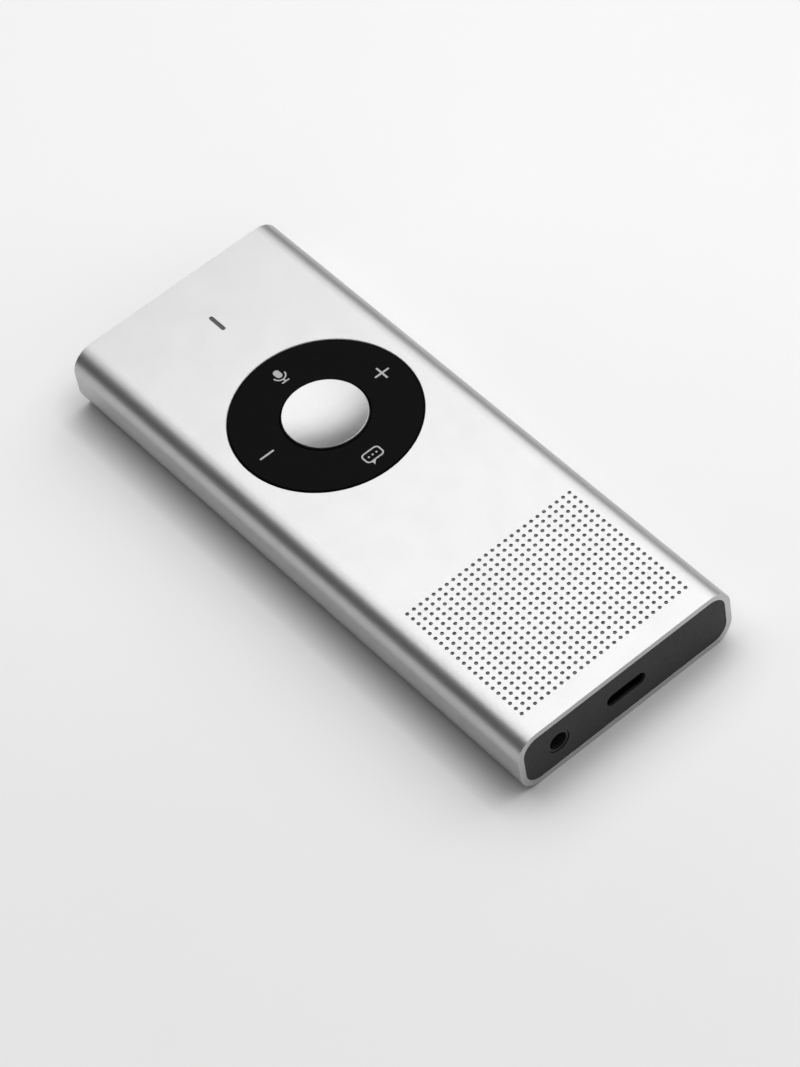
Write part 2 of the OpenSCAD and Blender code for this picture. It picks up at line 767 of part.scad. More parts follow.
cone_r = basket_r - 2.6;
coil_ri = 4.55;
coil_ro = 4.95;
roll_r = 0.9;
roll_t = 0.25;
roll_mid = cone_r + roll_r;
lip_r = roll_mid + roll_r + 0.8;

module speaker_gasket()
  color([0.13, 0.13, 0.13]) at_speaker() up(gasket_z, mesh_z) difference() {
    circle(rim_r);
    circle(lip_r + 0.1);
  }

basket_depth = 3.2;
basket_floor_r = 8.4;
basket_floor_t = 0.8;
basket_bot = well_top - basket_depth;
magnet_r = 7.6;
gap_ro = coil_ro + 0.3;
terminal_w = 7;

// Half section of the basket: rim, sloping side and floor
module basket_section() {
  side = 0.8;
  inner = lip_r - 1.2;
  polygon([
    [inner, well_top], [inner, well_top + rim_t], [rim_r, well_top + rim_t], [rim_r, well_top],
    [basket_r, well_top], [basket_floor_r, basket_bot], [gap_ro, basket_bot],
    [gap_ro, basket_bot + basket_floor_t], [basket_floor_r - side, basket_bot + basket_floor_t],
    [inner - side / 2, well_top]
  ]);
}

module speaker_basket()
  color([0.16, 0.16, 0.17]) at_speaker() {
    difference() {
      rotate_extrude() basket_section();
      for (a = [0 : 90 : 270]) rotate(a + 45)
        box([basket_floor_r - 0.5, -3, basket_bot + basket_floor_t + 0.2],
            [basket_r + 1, 3, well_top - 0.4]);
    }
    box([-terminal_w / 2, rim_r - merge, well_top],
        [terminal_w / 2, board_y0 - speaker_y + 2, well_top + rim_t]);
  }

motor_h = 3.2;
motor_bot = basket_bot - motor_h;
yoke_t = 1;                                   // plate under the magnet's gap
module speaker_magnet()
  color([0.55, 0.55, 0.57]) at_speaker() rotate_extrude() difference() {
    translate([0, motor_bot]) square([magnet_r, motor_h]);
    translate([coil_ri - 0.2, motor_bot + yoke_t]) square([gap_ro - coil_ri + 0.2, basket_bot]);
  }

coil_rise = 1.5;                              // how far the coil stands out of the basket's floor
coil_clear = 0.4;                             // from the coil to the yoke's plate
coil_top = basket_bot + coil_rise;
module voice_coil()
  color([0.72, 0.4, 0.22]) at_speaker() up(motor_bot + yoke_t + coil_clear, coil_top) difference() {
    circle(coil_ro);
    circle(coil_ri);
  }

cone_t = 0.3;
cone_top = well_top + rim_t;
dust_cap_r = 9;
module speaker_cone()
  color([0.1, 0.1, 0.1]) at_speaker() rotate_extrude() {
    polygon([
      [coil_ri, coil_top], [coil_ro + 0.4, coil_top], [cone_r + 0.5, cone_top - cone_t],
      [cone_r + 0.5, cone_top], [cone_r, cone_top], [coil_ro, coil_top + cone_t], [coil_ri, coil_top + cone_t]
    ]);
    intersection() {
      translate([0, coil_top + cone_t + 1.1 - dust_cap_r]) difference() {
        circle(dust_cap_r);
        circle(dust_cap_r - cone_t);
      }
      translate([0, coil_top]) square([coil_ro, 3]);
    }
  }

module cone_surround()
  color([0.06, 0.06, 0.06]) at_speaker() translate([0, 0, cone_top]) rotate_extrude() {
    intersection() {
      translate([roll_mid, 0]) difference() {
        circle(roll_r);
        circle(roll_r - roll_t);
      }
      square([basket_r + 2, 2]);
    }
    translate([cone_r - 0.6 + eps, 0]) square([0.6 + roll_t, roll_t]);
    translate([roll_mid + roll_r - roll_t, 0]) square([lip_r - roll_mid - roll_r + roll_t, roll_t]);
  }

// Two C-shaped springs between the main board and the tab on the basket
module speaker_contacts() {
  t = 0.2;
  depth = 1.4;
  color([0.85, 0.7, 0.35]) for (x = [speaker_x - 2, speaker_x + 2])
    along_x(x - 0.7, x + 0.7) translate([board_y0 + 0.4, board_top]) difference() {
      square([depth, well_top - face_gap - board_top]);
      translate([-eps, t]) square([depth - t, well_top - face_gap - board_top - 2 * t]);
    }
}

// ---------------------------------------------------------------- ports

strip_l = 5;                                  // length of the port board's strip under the ports
module port_board()
  color([0.1, 0.32, 0.2]) up(port_z, port_top) difference() {
    union() {
      translate([port_x0, port_y0]) square([port_x1 - port_x0, strip_l]);
      translate([lobe_x0, port_y0]) square([port_x1 - lobe_x0, lobe_y1 - port_y0]);
    }
    translate([speaker_x, speaker_y]) circle(well_ro + 0.3);
    at_port_bosses() circle(screw_r + 0.1);
  }

module port_screws()
  color([0.7, 0.7, 0.72]) at_port_bosses() screw(port_top, floor_top + 0.4);

// Flat cable that rises from the port board to the top of the main board
module port_flex() {
  low = port_top + face_gap;
  high = board_top + face_gap;
  ramp = 2.4;
  y0 = lobe_y1 - 3;
  y1 = board_y0 - 0.6;
  y2 = board_y0 + 3.6;
  plug = [flex_w + 0.8, 2, 0.9];
  plug_gap = 0.5;
  x = min(flex_x, port_x1 - flex_w / 2);
  color([0.75, 0.5, 0.15]) {
    along_x(x - flex_w / 2, x + flex_w / 2) polygon([
      [y0, low], [y1 - ramp, low], [y1, high], [y2, high],
      [y2, high + flex_t], [y1, high + flex_t], [y1 - ramp, low + flex_t], [y0, low + flex_t]
    ]);
    chip(x, y0 + plug_gap + plug[1] / 2, low + flex_t / 2, plug);
  }
}

module usb_receptacle()
  color([0.75, 0.75, 0.77]) {
    along_y(usb_y0, usb_y0 + usb_l) translate([0, usb_z]) difference() {
      capsule(usb_w, usb_h);
      capsule(mouth_w, mouth_h);
    }
    for (side = [0, 1]) mirror([side, 0, 0])
      box([(usb_w - usb_h) / 2, port_y0 + 1, port_top],
          [usb_w / 2 + 1.2, port_y0 + 3.4, port_top + usb_sheet]);
  }

usb_y1 = usb_y0 + usb_l;
tongue_w = 6.7;
tongue_t = 0.7;
tongue_l = 6;
tongue_y0 = usb_y1 - tongue_l;
tongue_base = 1.8;
module usb_tongue()
  color([0.09, 0.09, 0.1]) {
    along_y(usb_y1 - tongue_base, usb_y1) translate([0, usb_z])
      capsule(mouth_w - 0.04, mouth_h - 0.04);
    along_y(tongue_y0, usb_y1 - tongue_base / 2) translate([0, usb_z])
      square([tongue_w, tongue_t], center = true);
  }

// Twelve gold strips on each side of the tongue
strip_n = 12;
strip_pitch = 0.5;
strip_w = 0.25;
strip_t = 0.03;
module usb_contacts()
  color([0.85, 0.72, 0.4])
    for (i = [0 : strip_n - 1], z = [usb_z - tongue_t / 2 - strip_t, usb_z + tongue_t / 2])
      translate([(i - (strip_n - 1) / 2) * strip_pitch - strip_w / 2, tongue_y0 + 0.4, z])
        cube([strip_w, usb_y1 - tongue_base - tongue_y0 - 0.4, strip_t]);

pocket_h = 2.4;
pocket_ys = [3.2, 6.4, 9.6];   // contact pockets, from the front of the socket's body
pocket_l = 1.6;
module headset_jack()
  color([0.1, 0.1, 0.11]) difference() {
    union() {
      box([-jack_x - jack_w / 2, jack_body_y0, mid_z - jack_h / 2],
          [-jack_x + jack_w / 2, jack_y1, mid_z + jack_h / 2]);
      along_y(jack_y0, jack_body_y0 + merge) translate([-jack_x, mid_z]) circle(nose_r);
      box([-jack_x + jack_w / 2 - merge, jack_body_y0 + 0.5, port_top],
          [-jack_x + jack_w / 2 + 1, jack_body_y0 + 4, port_top + 0.5]);
    }
    along_y(jack_y0 - eps, jack_y0 + jack_depth) translate([-jack_x, mid_z]) circle(jack_bore_r);
    for (y = pocket_ys)
      box([-jack_x - jack_w / 2 - eps, jack_body_y0 + y, mid_z - pocket_h / 2],
          [-jack_x - jack_bore_r - 0.5, jack_body_y0 + y + pocket_l, mid_z + pocket_h / 2]);
  }

module jack_contacts()
  color([0.85, 0.72, 0.4])
    for (y = pocket_ys)
      box([-jack_x - jack_w / 2, jack_body_y0 + y + 0.2, mid_z - pocket_h / 2 + 0.1],
          [-jack_x - jack_bore_r - 0.6, jack_body_y0 + y + pocket_l - 0.2, mid_z + pocket_h / 2 - 0.1]);

// ---------------------------------------------------------------- nodes

shell();
front_cap();
rear_cap();
chassis();
ring_key();
rocker_carrier();
key_bracket();
bracket_screws();
button_cap();
button_plunger();
key_switches();
centre_switch();
light_pipe();
status_led();
main_board();
board_chips();
shield_can();
board_screws();
antenna();
microphones();
mic_boots();
battery();
battery_pad();
battery_board();
battery_lead();
dust_mesh();
speaker_gasket();
speaker_basket();
speaker_magnet();
voice_coil();
speaker_cone();
cone_surround();
speaker_contacts();
port_board();
port_screws();
port_flex();
usb_receptacle();
usb_tongue();
usb_contacts();
headset_jack();
jack_contacts();
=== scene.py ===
"""Looks of a handheld translator: materials, printed marks, floor, softboxes, room and camera."""
import json
import math

import bmesh
import bpy
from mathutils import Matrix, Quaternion, Vector


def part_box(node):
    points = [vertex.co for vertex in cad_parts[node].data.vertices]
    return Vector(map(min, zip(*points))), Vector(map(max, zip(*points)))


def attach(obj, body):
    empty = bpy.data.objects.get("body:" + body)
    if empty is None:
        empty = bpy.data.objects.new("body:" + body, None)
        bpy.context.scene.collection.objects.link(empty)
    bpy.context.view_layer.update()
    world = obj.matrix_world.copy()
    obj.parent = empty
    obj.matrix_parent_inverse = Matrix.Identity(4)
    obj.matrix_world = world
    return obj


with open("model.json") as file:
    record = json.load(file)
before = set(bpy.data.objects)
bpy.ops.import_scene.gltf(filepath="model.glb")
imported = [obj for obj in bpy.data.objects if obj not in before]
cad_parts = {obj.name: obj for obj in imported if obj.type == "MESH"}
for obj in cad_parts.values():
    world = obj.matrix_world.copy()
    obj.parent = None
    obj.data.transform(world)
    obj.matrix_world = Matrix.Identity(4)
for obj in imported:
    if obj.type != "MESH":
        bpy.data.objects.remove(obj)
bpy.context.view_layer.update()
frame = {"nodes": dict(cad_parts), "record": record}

MM = 0.001

# ---------------------------------------------------------------- sizes and places

# Camera, solved from the square grid of the grille's holes
CAMERA_PLACE = Vector((-0.2358, -0.3827, 0.5463))
CAMERA_TARGET = Vector((-0.00516, -0.00814, 0.00656))
CAMERA_ROLL = math.radians(-10.99)
CAMERA_LENS = 137.18
SENSOR = 36

# Softboxes overhead: a large one to the right and a small one at its left end.
# Each is a rectangle from x0 to x1 and y0 to y1, with its radiance.
SOFTBOX_HEIGHT = 0.60
SOFTBOX_MAIN = (0.02, 1.60, -0.40, 0.66, 2.10)
SOFTBOX_LEFT = (-0.36, 0.02, 0.0, 0.51, 1.88)

# Room: a pale wall in front near the horizon, and dim overhead and behind.
# The wall fades out between two shares of the way up, and between two of the way back.
WALL_GREY = 0.8
DIM_GREY = 0.08
WALL_TOP = (0.3, 0.8)
WALL_END = (-0.55, 0.25)

# Floor: a single triangle, because a faint line shows where two of its faces meet.
# It is faintly cloudy, and fades to a plain grey between two distances from the origin.
FLOOR_REACH = 12.0
FLOOR_GREY = 0.86
FLOOR_FAR = (0.06, 0.25)
CLOUD_SIZE = 60 * MM
CLOUD_DEPTH = 0.008

# Painted contact shade on the floor: its colour is darkened where something stands within reach before a
# direction
CONTACT_REACH = 7 * MM
CONTACT_SHADE = 0.6
CONTACT_WAY = (0.6, 0, 0.8)
CONTACT_SAMPLES = 8

# Bead-blasted aluminium, a touch blue, and darker in reflections at grazing angles
SHELL_GREY = 0.515
SHELL_ROUGHNESS = 0.385
BUTTON_GREY = 0.46
BUTTON_ROUGHNESS = 0.36
BLUE_SHARE = 1.01
GRAZING_TINT = 0.9

# Walls of the grille's holes: matt, with painted shade down to BORE_RIM below the tube's top, and painted
# light deeper.
# So they are grey from above, as in the photo, and dark from low down. A face is such a wall
# where its normal's Z is within BORE_TILT of level.
BORE_RIM = 0.3 * MM
BORE_FADE = 0.1 * MM
BORE_PAINTED_SHADE_GREY = 0.12
BORE_PAINTED_LIGHT_GREY = 0.92
BORE_TILT = 0.5

# Most of a noise lies between these two values
NOISE_SPAN = (0.3, 0.7)

# Worn edges with a painted highlight: cosines between the rounded and the true normal where the
# lightening starts and where it is full, and the patches in which it is faint
EDGE_SPAN = (0.99, 0.85)
EDGE_SAMPLES = 6
PATCH_SIZE = 2.5 * MM
PATCH_SPAN = (0.35, 0.6)
PATCH_LEAST = 0.4

# Marks printed on the ring, upright towards +Y. The plus and the minus lie a little off the
# ring's middle line, as in the photo.
# Places in an outline are taken from the mark's middle.
MARK_R = 12.9 * MM
MARK_T = 0.02 * MM
MARK_SIZE = 3.1 * MM
MARK_STROKE = 0.38 * MM
PLUS_PLACE = (MARK_R + 0.14 * MM, 0.15 * MM)
MINUS_PLACE = (-MARK_R - 0.06 * MM, 0.3 * MM)
MICROPHONE_PLACE = (0, MARK_R)
SPEECH_PLACE = (0, -MARK_R)

# Microphone: a long round head in a cradle, on a stem with a foot
HEAD_R = 0.62 * MM
HEAD_RISE = 0.75 * MM
CRADLE_R = 1.05 * MM
CRADLE_STROKE = 0.28 * MM
STEM_STROKE = 0.3 * MM
FOOT_TOP = -1.75 * MM
FOOT_W = 1.6 * MM

# Speech bubble with a tail at its lower left and three dots
BUBBLE_W = 3.9 * MM
BUBBLE_D = 2.5 * MM
BUBBLE_R = 0.8 * MM
BUBBLE_STROKE = 0.3 * MM
TAIL_LEFT = -1.1 * MM
TAIL_RIGHT = -0.3 * MM
TAIL_DROP = 0.75 * MM
DOT_R = 0.2 * MM
DOT_PITCH = 0.85 * MM


# ---------------------------------------------------------------- materials

def shaded(colour, factor):
    """The colour times a factor."""
    return [c * factor for c in colour]


class Surface:
    """A Principled material, with short calls for the nodes that give it its detail."""

    def __init__(self, name, colour, roughness, metallic=0.0, specular=0.5):
        self.material = bpy.data.materials.new(name)
        self.material.use_nodes = True
        self.tree = self.material.node_tree
        self.shader = self.tree.nodes["Principled BSDF"]
        self.colour = colour
        self.roughness = roughness
        self.shader.inputs["Base Color"].default_value = (*colour, 1)
        self.shader.inputs["Roughness"].default_value = roughness
        self.shader.inputs["Metallic"].default_value = metallic
        self.shader.inputs["Specular IOR Level"].default_value = specular
        self.place = self.node("ShaderNodeTexCoord").outputs["Object"]
        self.normal = None

    def node(self, kind, **settings):
        made = self.tree.nodes.new(kind)
        for key, value in settings.items():
            setattr(made, key, value)
        return made

    def link(self, source, target):
        self.tree.links.new(source, target)

    def stretched(self, scale):
        """The object's coordinates times a scale on each axis."""
        mapping = self.node("ShaderNodeMapping")
        mapping.inputs["Scale"].default_value = scale
        self.link(self.place, mapping.inputs["Vector"])
        return mapping.outputs["Vector"]

    def noise(self, size, detail=2.0, rough=0.5, along=(1, 1, 1)):
        """Noise whose grains are about size metres across, drawn out along an axis by along."""
        made = self.node("ShaderNodeTexNoise")
        made.inputs["Scale"].default_value = 1.0
        made.inputs["Detail"].default_value = detail
        made.inputs["Roughness"].default_value = rough
        self.link(self.stretched([1 / (size * times) for times in along]), made.inputs["Vector"])
        return made.outputs["Fac"]

    def calc(self, operation, *values):
        """A Math node on numbers and sockets."""
        made = self.node("ShaderNodeMath", operation=operation)
        for socket, value in zip(made.inputs, values):
            if isinstance(value, (int, float)):
                socket.default_value = value
            else:
                self.link(value, socket)
        return made.outputs[0]

    def along(self, axis):
        """The object's X, Y or Z, in metres."""
        made = self.node("ShaderNodeSeparateXYZ")
        self.link(self.place, made.inputs[0])
        return made.outputs[axis]

    def wave(self, axis, pitch):
        """Sine along an axis that crosses zero once in each pitch."""
        return self.calc("SINE", self.calc("MULTIPLY", self.along(axis), math.pi / pitch))

    def threads(self, axis, pitch):
        """Round ridges side by side across an axis: 0 between two of them, 1 on top of one."""
        return self.calc("ABSOLUTE", self.wave(axis, pitch))

    def cells(self, size):
        """Distance to the nearest of scattered points about size apart, in shares of that size."""
        made = self.node("ShaderNodeTexVoronoi")
        made.inputs["Scale"].default_value = 1.0
        self.link(self.stretched([1 / size] * 3), made.inputs["Vector"])
        return made.outputs["Distance"]

    def span(self, value, low, high, to_low, to_high):
        """Maps value from low..high to to_low..to_high, clamped."""
        made = self.node("ShaderNodeMapRange")
        self.link(value, made.inputs["Value"])
        for key, number in zip(("From Min", "From Max", "To Min", "To Max"), (low, high, to_low, to_high)):
            made.inputs[key].default_value = number
        return made.outputs["Result"]

    def vary_roughness(self, value, by):
        """Lowers and raises the roughness by an amount, where value is low and high."""
        self.link(self.span(value, *NOISE_SPAN, self.roughness - by, self.roughness + by),
                  self.shader.inputs["Roughness"])

    def vary_colour(self, value, by):
        """Darkens and lightens the base colour by a share, where value is low and high."""
        self.tint(self.span(value, *NOISE_SPAN, 0, 1),
                  shaded(self.colour, 1 - by), shaded(self.colour, 1 + by))

    def tint(self, factor, low, high):
        """Base colour from low to high, as factor goes from 0 to 1."""
        made = self.node("ShaderNodeMix", data_type="RGBA")
        self.link(factor, made.inputs["Factor"])
        for socket, colour in zip(("A", "B"), (low, high)):
            found = [plug for plug in made.inputs if plug.name == socket and plug.type == "RGBA"]
            found[0].default_value = (*colour, 1)
        mixed = [plug for plug in made.outputs if plug.type == "RGBA"]
        self.link(mixed[0], self.shader.inputs["Base Color"])

    def scale_colour(self, factor):
        """Multiplies the base colour, which a node already feeds, by a factor."""
        base = self.shader.inputs["Base Color"]
        made = self.node("ShaderNodeVectorMath", operation="SCALE")
        self.link(base.links[0].from_socket, made.inputs[0])
        self.link(factor, made.inputs["Scale"])
        self.link(made.outputs["Vector"], base)

    def round_edges(self, radius, wear_and_highlight):
        """Rounds the look of sharp edges, and lightens them by a share at most, partly as handling wears
        them and partly as a painted highlight.
        """
        made = self.node("ShaderNodeBevel", samples=EDGE_SAMPLES)
        made.inputs["Radius"].default_value = radius
        self.normal = made.outputs["Normal"]
        self.link(self.normal, self.shader.inputs["Normal"])
        turn = self.node("ShaderNodeVectorMath", operation="DOT_PRODUCT")
        self.link(self.normal, turn.inputs[0])
        self.link(self.node("ShaderNodeNewGeometry").outputs["Normal"], turn.inputs[1])
        # Painted highlight, partly wear: the base colour is lightened in patches where the rounded normal
        # turns from the true one
        edge = self.span(turn.outputs["Value"], *EDGE_SPAN, 0, wear_and_highlight)
        patchy = self.span(self.noise(PATCH_SIZE), *PATCH_SPAN, PATCH_LEAST, 1)
        self.scale_colour(self.calc("ADD", 1, self.calc("MULTIPLY", edge, patchy)))

    def paint_contact_shade(self, reach, share, towards):
        """Paints shade into the base colour, darkening it by a share at most, where surfaces stand within
        reach before a direction.
        """
        way = self.node("ShaderNodeCombineXYZ")
        for socket, number in zip(way.inputs, towards):
            socket.default_value = number
        near = self.node("ShaderNodeAmbientOcclusion", samples=CONTACT_SAMPLES)
        near.inputs["Distance"].default_value = reach
        self.link(way.outputs[0], near.inputs["Normal"])
        self.scale_colour(self.span(near.outputs["AO"], 0, 1, 1 - share, 1))

    def glow_far_away(self, near, far, grey):
        """Fades to a plain grey with distance, for what the camera, metal and glass see."""
        away = self.node("ShaderNodeVectorMath", operation="LENGTH")
        self.link(self.place, away.inputs[0])
        path = self.node("ShaderNodeLightPath").outputs
        seen = self.calc("MAXIMUM", path["Is Camera Ray"],
                         self.calc("MAXIMUM", path["Is Glossy Ray"], path["Is Transmission Ray"]))
        glow = self.node("ShaderNodeEmission")
        glow.inputs["Color"].default_value = (grey, grey, grey, 1)
        mix = self.node("ShaderNodeMixShader")
        faded = self.span(away.outputs["Value"], near, far, 0, 1)
        self.link(self.calc("MULTIPLY", faded, seen), mix.inputs[0])
        self.link(self.shader.outputs[0], mix.inputs[1])
        self.link(glow.outputs[0], mix.inputs[2])
        self.link(mix.outputs[0], self.tree.nodes["Material Output"].inputs["Surface"])

    def bump(self, height, depth):
        """Raises the look of the surface by depth metres where height is 1."""
        made = self.node("ShaderNodeBump")
        made.inputs["Distance"].default_value = depth
        self.link(height, made.inputs["Height"])
        if self.normal is not None:
            self.link(self.normal, made.inputs["Normal"])
        self.normal = made.outputs["Normal"]
        self.link(self.normal, self.shader.inputs["Normal"])


def blasted_aluminium(name, grey, roughness):
    """Bead-blasted, clear anodised aluminium: a fine even grain with a faint cloudiness."""
    metal = Surface(name, (grey, grey, grey * BLUE_SHARE), roughness, metallic=1.0)
    metal.shader.inputs["Specular Tint"].default_value = (GRAZING_TINT, GRAZING_TINT, GRAZING_TINT, 1)
    metal.vary_colour(metal.noise(6 * MM, detail=3), 0.02)
    metal.vary_roughness(metal.noise(0.5 * MM), 0.03)
    metal.round_edges(0.05 * MM, wear_and_highlight=0.4)
    metal.bump(metal.noise(0.12 * MM, detail=3, rough=0.6), 0.004 * MM)
    return metal


def drilled_aluminium(name, grey, roughness, low, high):
    """Blasted aluminium whose upright walls between two corners are the walls of drilled holes, matt, with
    painted shade near their rims and painted light deeper down.
    """
    metal = blasted_aluminium(name, grey, roughness)
    facing = metal.node("ShaderNodeSeparateXYZ")
    metal.link(metal.node("ShaderNodeNewGeometry").outputs["Normal"], facing.inputs[0])
    bore = metal.calc("COMPARE", facing.outputs["Z"], 0, BORE_TILT)
    for axis, start, end in zip("XYZ", low, high):
        inside = metal.calc("COMPARE", metal.along(axis), (start + end) / 2, (end - start) / 2)
        bore = metal.calc("MULTIPLY", bore, inside)
    metal.link(metal.calc("SUBTRACT", 1, bore), metal.shader.inputs["Metallic"])
    # Painted shade on the holes' walls near the rim and painted light deeper down, in the base colour
    fade = high.z - BORE_RIM
    share = metal.span(metal.along("Z"), fade - BORE_FADE / 2, fade + BORE_FADE / 2,
                       BORE_PAINTED_LIGHT_GREY / grey, BORE_PAINTED_SHADE_GREY / grey)
    metal.scale_colour(metal.calc("MULTIPLY_ADD", bore, metal.calc("SUBTRACT", share, 1), 1))
    return metal


def sheet_metal(name, colour, roughness, grain=(12, 1, 1), edge=0.08 * MM):
    """Rolled or plated metal: fine drawn-out scratches and faint stains."""
    metal = Surface(name, colour, roughness, metallic=1.0)
    metal.vary_colour(metal.noise(2.5 * MM, detail=4), 0.08)
    scratches = metal.noise(0.06 * MM, detail=2, along=grain)
    metal.vary_roughness(scratches, 0.08)
    metal.round_edges(edge, wear_and_highlight=0.2)
    metal.bump(scratches, 0.003 * MM)
    return metal


def moulded(name, colour, roughness, grain, depth, specular=0.5, edge=0.1 * MM):
    """Moulded plastic with a spark-eroded texture."""
    plastic = Surface(name, colour, roughness, specular=specular)
    plastic.vary_colour(plastic.noise(3 * MM), 0.06)
    plastic.vary_roughness(plastic.noise(0.4 * MM), 0.05)
    if edge:
        plastic.round_edges(edge, wear_and_highlight=0.3)
    plastic.bump(plastic.noise(grain, detail=3, rough=0.6), depth)
    return plastic


def printed_board(name):
    """Green solder mask over copper tracks, with round vias whose holes are darkened as painted shade."""
    board = Surface(name, (0.010, 0.085, 0.040), 0.3)
    tracks = board.node("ShaderNodeTexBrick", offset=0.37, squash=0.6, squash_frequency=3)
    for socket, shade in (("Color1", 0), ("Color2", 0), ("Mortar", 1)):
        tracks.inputs[socket].default_value = (shade, shade, shade, 1)
    for socket, number in (("Scale", 1), ("Mortar Size", 0.12), ("Mortar Smooth", 0.2),
                           ("Brick Width", 7.3), ("Row Height", 0.9)):
        tracks.inputs[socket].default_value = number
    board.link(board.stretched([1 / MM] * 3), tracks.inputs["Vector"])
    via_pitch, via_edge, hole_edge = 1.7 * MM, (0.13, 0.10), (0.07, 0.05)
    spots = board.cells(via_pitch)
    via = board.span(spots, *via_edge, 0, 1)
    hole = board.span(spots, *hole_edge, 0, 1)
    copper = board.calc("MAXIMUM", tracks.outputs["Color"], via)
    board.tint(copper, board.colour, (0.035, 0.19, 0.07))
    # Painted shade: the vias' holes are darkened
    board.scale_colour(board.calc("SUBTRACT", 1, board.calc("MULTIPLY", hole, 0.85)))
    board.vary_roughness(board.noise(0.8 * MM), 0.05)
    board.bump(board.calc("SUBTRACT", copper, hole), 0.02 * MM)
    return board


def woven(name, colour, pitch):
    """Plain weave of fine black thread: warp and weft take turns on top, with painted shade where the
    threads sink between one another.
    """
    cloth = Surface(name, colour, 0.85, specular=0.3)
    warp, weft = cloth.threads("X", pitch), cloth.threads("Y", pitch)
    crossing = cloth.calc("MULTIPLY", cloth.wave("X", pitch), cloth.wave("Y", pitch))
    on_top = cloth.span(crossing, -0.3, 0.3, 0, 1)
    height = cloth.calc("MAXIMUM", cloth.calc("MULTIPLY", warp, on_top),
                        cloth.calc("MULTIPLY", weft, cloth.calc("SUBTRACT", 1, on_top)))
    # Painted shade: darker where the threads sink between one another
    cloth.tint(height, shaded(colour, 0.35), colour)
    cloth.shader.inputs["Sheen Weight"].default_value = 0.2
    cloth.bump(height, pitch * 0.4)
    return cloth


def foamed(name, colour, cell):
    """Closed-cell foam: small round cells cut open, with painted shade in their hollows and painted light
    on the rims between them.
    """
    foam = Surface(name, colour, 0.95, specular=0.2)
    pores = foam.cells(cell)
    # Painted shade in the cells' hollows and painted light on their rims
    foam.tint(foam.span(pores, 0.1, 0.6, 0, 1), shaded(colour, 0.4), shaded(colour, 1.2))
    foam.bump(pores, cell * 0.5)
    return foam


def polyimide(name):
    """Amber film over a row of copper tracks."""
    film = Surface(name, (0.50, 0.20, 0.03), 0.3)
    tracks = film.span(film.threads("X", 0.6 * MM), 0.45, 0.55, 0, 1)
    film.tint(tracks, film.colour, (0.62, 0.30, 0.08))
    film.vary_roughness(film.noise(0.7 * MM), 0.05)
    film.bump(tracks, 0.01 * MM)
    return film


def pouch_foil(name):
    """Laminated battery foil: silver, softly creased, with a fine pressed grain."""
    foil = sheet_metal(name, (0.60, 0.61, 0.62), 0.38, grain=(3, 3, 3), edge=0.3 * MM)
    creases = foil.noise(7 * MM, detail=2, along=(1, 2.5, 1))
    foil.bump(creases, 0.12 * MM)
    return foil


def clear_plastic(name, colour, roughness, clear):
    """Glossy moulded plastic that lets a share of the light through."""
    plastic = moulded(name, colour, roughness, 0.3 * MM, 0.002 * MM)
    plastic.shader.inputs["Transmission Weight"].default_value = clear
    return plastic


# The grille's holes lie over the dust mesh and end at the tube's top
grille_low, grille_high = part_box("dust_mesh")
grille_high.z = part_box("shell")[1].z

SLOTS = {
    "shell_aluminium": drilled_aluminium("shell_aluminium", SHELL_GREY, SHELL_ROUGHNESS,
                                         grille_low, grille_high),
    "button_aluminium": blasted_aluminium("button_aluminium", BUTTON_GREY, BUTTON_ROUGHNESS),
    "cap_plastic": moulded("cap_plastic", (0.018, 0.018, 0.019), 0.55, 0.14 * MM, 0.01 * MM, specular=0.32),
    "ring_plastic": moulded("ring_plastic", (0.0025, 0.0025, 0.0027), 0.42, 0.1 * MM, 0.002 * MM,
                            specular=0.03),
    "chassis_plastic": moulded("chassis_plastic", (0.09, 0.095, 0.105), 0.5, 0.2 * MM, 0.01 * MM),
    "black_plastic": moulded("black_plastic", (0.012, 0.012, 0.013), 0.45, 0.2 * MM, 0.006 * MM),
    "switch_plastic": moulded("switch_plastic", (0.5, 0.5, 0.46), 0.45, 0.2 * MM, 0.006 * MM),
    "window_plastic": clear_plastic("window_plastic", (0.03, 0.03, 0.032), 0.25, 0.1),
    "led": clear_plastic("led", (0.85, 0.85, 0.78), 0.2, 0.3),
    "circuit_board": printed_board("circuit_board"),
    "chip": moulded("chip", (0.02, 0.02, 0.022), 0.5, 0.1 * MM, 0.004 * MM),
    "tinplate": sheet_metal("tinplate", (0.58, 0.58, 0.56), 0.3),
    "steel": sheet_metal("steel", (0.45, 0.46, 0.48), 0.32),
    "black_nickel": sheet_metal("black_nickel", (0.03, 0.03, 0.032), 0.35, grain=(1, 12, 1)),
    "contact_brass": sheet_metal("contact_brass", (0.76, 0.54, 0.22), 0.28, grain=(1, 8, 1),
                                 edge=0.04 * MM),
    "rubber": moulded("rubber", (0.01, 0.01, 0.01), 0.8, 0.15 * MM, 0.01 * MM, specular=0.3),
    "foam": foamed("foam", (0.02, 0.02, 0.02), 0.35 * MM),
    "mesh_fabric": woven("mesh_fabric", (0.05, 0.05, 0.05), 0.12 * MM),
    "flex_film": polyimide("flex_film"),
    "battery_foil": pouch_foil("battery_foil"),
}
INK = moulded("mark_ink", (0.42, 0.42, 0.42), 0.6, 0.08 * MM, 0.003 * MM, specular=0.2, edge=0)

for row in frame["record"]["subparts"]:
    slots = frame["nodes"][row["node"]].data.materials
    slots.clear()
    slots.append(SLOTS[row["material_slot"]].material)


# ---------------------------------------------------------------- new objects

def add_object(name, data):
    """A new object in the scene."""
    made = bpy.data.objects.new(name, data)
    bpy.context.scene.collection.objects.link(made)
    return made


def add_mesh(name, mesh, material):
    """A new object from a bmesh, which is freed."""
    data = bpy.data.meshes.new(name)
    mesh.to_mesh(data)
    mesh.free()
    data.materials.append(material)
    return add_object(name, data)


# ---------------------------------------------------------------- marks on the ring

